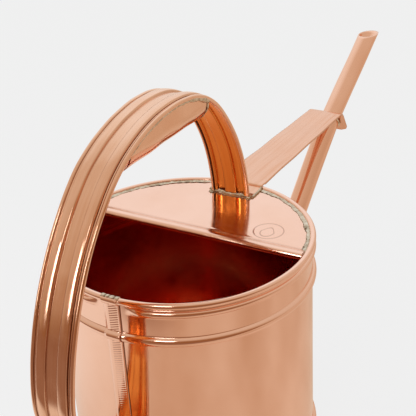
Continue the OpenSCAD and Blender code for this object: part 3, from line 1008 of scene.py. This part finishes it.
def cover_solder():
    """Meniscus between the cover and the rim, all along the cover's curved edge."""
    rows = []
    start = math.acos((COVER_EDGE_X + 2) / COVER_R)
    up = np.array((0, 0, 1.0))
    for a in np.linspace(-start, start, 420):
        d = np.array((math.cos(a), math.sin(a), 0))
        rim = d * (RIM_X - 1.9) + up * (RIM_Z + 1.1)
        corner = d * (RIM_X - 1.9) + up * (COVER_TOP + 0.02)
        on_cover = d * (RIM_X - 4.7) + up * (COVER_TOP + 0.12)
        rows.append((rim, corner, on_cover))
    fillet("solder_round_cover", rows, "solder_cover_joint", ragged=0.4, size=8.0, seed=1.0)


cover_solder()
handle_front_solder()
plain_solder()


# CAD nodes get the same metals: iron for the wires, solder for the joints
for name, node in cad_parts.items():
    if "wire" in name or name.startswith("solder"):
        node.data.materials.clear()
        node.data.materials.append(IRON if "wire" in name else SOLDER_METAL)


# ---- studio ---------------------------------------------------------------------------------

# Direction in which the room is brightest, and its brightness from the far side (0) to it (1)
ROOM_BRIGHT_SIDE = (0.71, 0.41, 0.57)
ROOM_LEVELS = ((0.0, 0.28), (0.31, 0.32), (0.41, 0.50), (0.50, 0.62), (0.65, 0.70), (0.84, 0.72),
               (0.93, 0.88), (0.98, 0.95))
WHITE_LEVEL = 0.95
FLOOR_SIZE = 26
PAPER = (0.782, 0.796, 0.806, 1)
# Painted window light on the table top that polished metal sees in the floor
WINDOW_LIGHT_ON_TABLE = (0.80, 0.73, 0.66, 1)


def warm(level):
    """Colour of the room where it is this bright: white where bright, warmer where dim."""
    share = level / WHITE_LEVEL
    return level, level * share ** 0.65, level * share ** 1.35


def room():
    """Plain room that is bright on one side and dim on the other."""
    world = bpy.data.worlds.new("studio")
    bpy.context.scene.world = world
    world.use_nodes = True
    tree = world.node_tree
    back = tree.nodes["Background"]
    coords = tree.nodes.new("ShaderNodeTexCoord")
    facing = tree.nodes.new("ShaderNodeVectorMath")
    facing.operation = "DOT_PRODUCT"
    facing.inputs[1].default_value = ROOM_BRIGHT_SIDE
    ramp = tree.nodes.new("ShaderNodeValToRGB")
    while len(ramp.color_ramp.elements) < len(ROOM_LEVELS):
        ramp.color_ramp.elements.new(0.5)
    for element, (position, level) in zip(ramp.color_ramp.elements, ROOM_LEVELS):
        element.position = position
        element.color = (*warm(level), 1)
    tree.links.new(coords.outputs["Generated"], facing.inputs[0])
    half = tree.nodes.new("ShaderNodeMath")
    half.operation = "MULTIPLY_ADD"
    half.inputs[1].default_value = 0.5
    half.inputs[2].default_value = 0.5
    tree.links.new(facing.outputs["Value"], half.inputs[0])
    tree.links.new(half.outputs["Value"], ramp.inputs["Fac"])
    tree.links.new(ramp.outputs["Color"], back.inputs["Color"])
    back.inputs["Strength"].default_value = 1.0


def ground():
    """Floor that glows instead of taking light: an even pale to the camera; polished metal sees there
    a warm table top with painted window light, and no paper.
    """
    bpy.ops.mesh.primitive_plane_add(size=FLOOR_SIZE)
    floor = bpy.context.object
    floor.name = "floor"
    n = Nodes("floor_paper")
    n.shader.inputs["Base Color"].default_value = (0.12, 0.12, 0.12, 1)
    n.shader.inputs["Roughness"].default_value = 0.9
    n.shader.inputs["Specular IOR Level"].default_value = 0.0
    n.shader.inputs["Emission Strength"].default_value = 1.0
    # The table top ends behind the handle; on the window's side it is paler, which is painted window
    # light
    edge = n.add("ShaderNodeMapRange", interpolation_type="SMOOTHSTEP")
    edge.inputs["From Min"].default_value = -0.36
    edge.inputs["From Max"].default_value = -0.28
    part = n.add("ShaderNodeSeparateXYZ")
    n.link(n.place, part.inputs["Vector"])
    n.link(part.outputs["X"], edge.inputs["Value"])
    wood = n.ramp(n.noise(4.0, detail=3), ((0.35, warm(0.50)), (0.65, warm(0.66))))
    lit = n.add("ShaderNodeMapRange", interpolation_type="SMOOTHSTEP")
    lit.inputs["From Min"].default_value = -0.02
    lit.inputs["From Max"].default_value = 0.22
    n.link(part.outputs["Y"], lit.inputs["Value"])
    wood = n.mix(lit.outputs["Result"], wood, WINDOW_LIGHT_ON_TABLE)
    table = n.mix(edge.outputs["Result"], (*warm(0.22), 1), wood)
    seen = n.add("ShaderNodeLightPath").outputs["Is Camera Ray"]
    n.link(n.mix(seen, table, PAPER), n.shader.inputs["Emission Color"])
    floor.data.materials.append(n.material)


def softbox(name, place, target, size, power):
    """Rectangular light at a place, turned towards a target, both in metres."""
    data = bpy.data.lights.new(name, "AREA")
    data.shape = "RECTANGLE"
    data.size, data.size_y = size
    data.energy = power
    made = bpy.data.objects.new(name, data)
    place, target = Vector(place), Vector(target)
    made.location = place
    made.rotation_mode = "QUATERNION"
    made.rotation_quaternion = (target - place).to_track_quat("-Z", "Y")
    bpy.context.scene.collection.objects.link(made)


room()
ground()
softbox("window", (-1.30, 0.48, 0.72), (-0.1, 0, 0.18), (0.16, 0.55), 1.6)
softbox("lamp", (-1.15, -0.20, 1.15), (0, 0, 0.15), (0.35, 0.30), 1.5)

scene = bpy.context.scene
scene.view_settings.view_transform = "Standard"
scene.view_settings.look = "None"
scene.cycles.max_bounces = 24
scene.cycles.glossy_bounces = 24
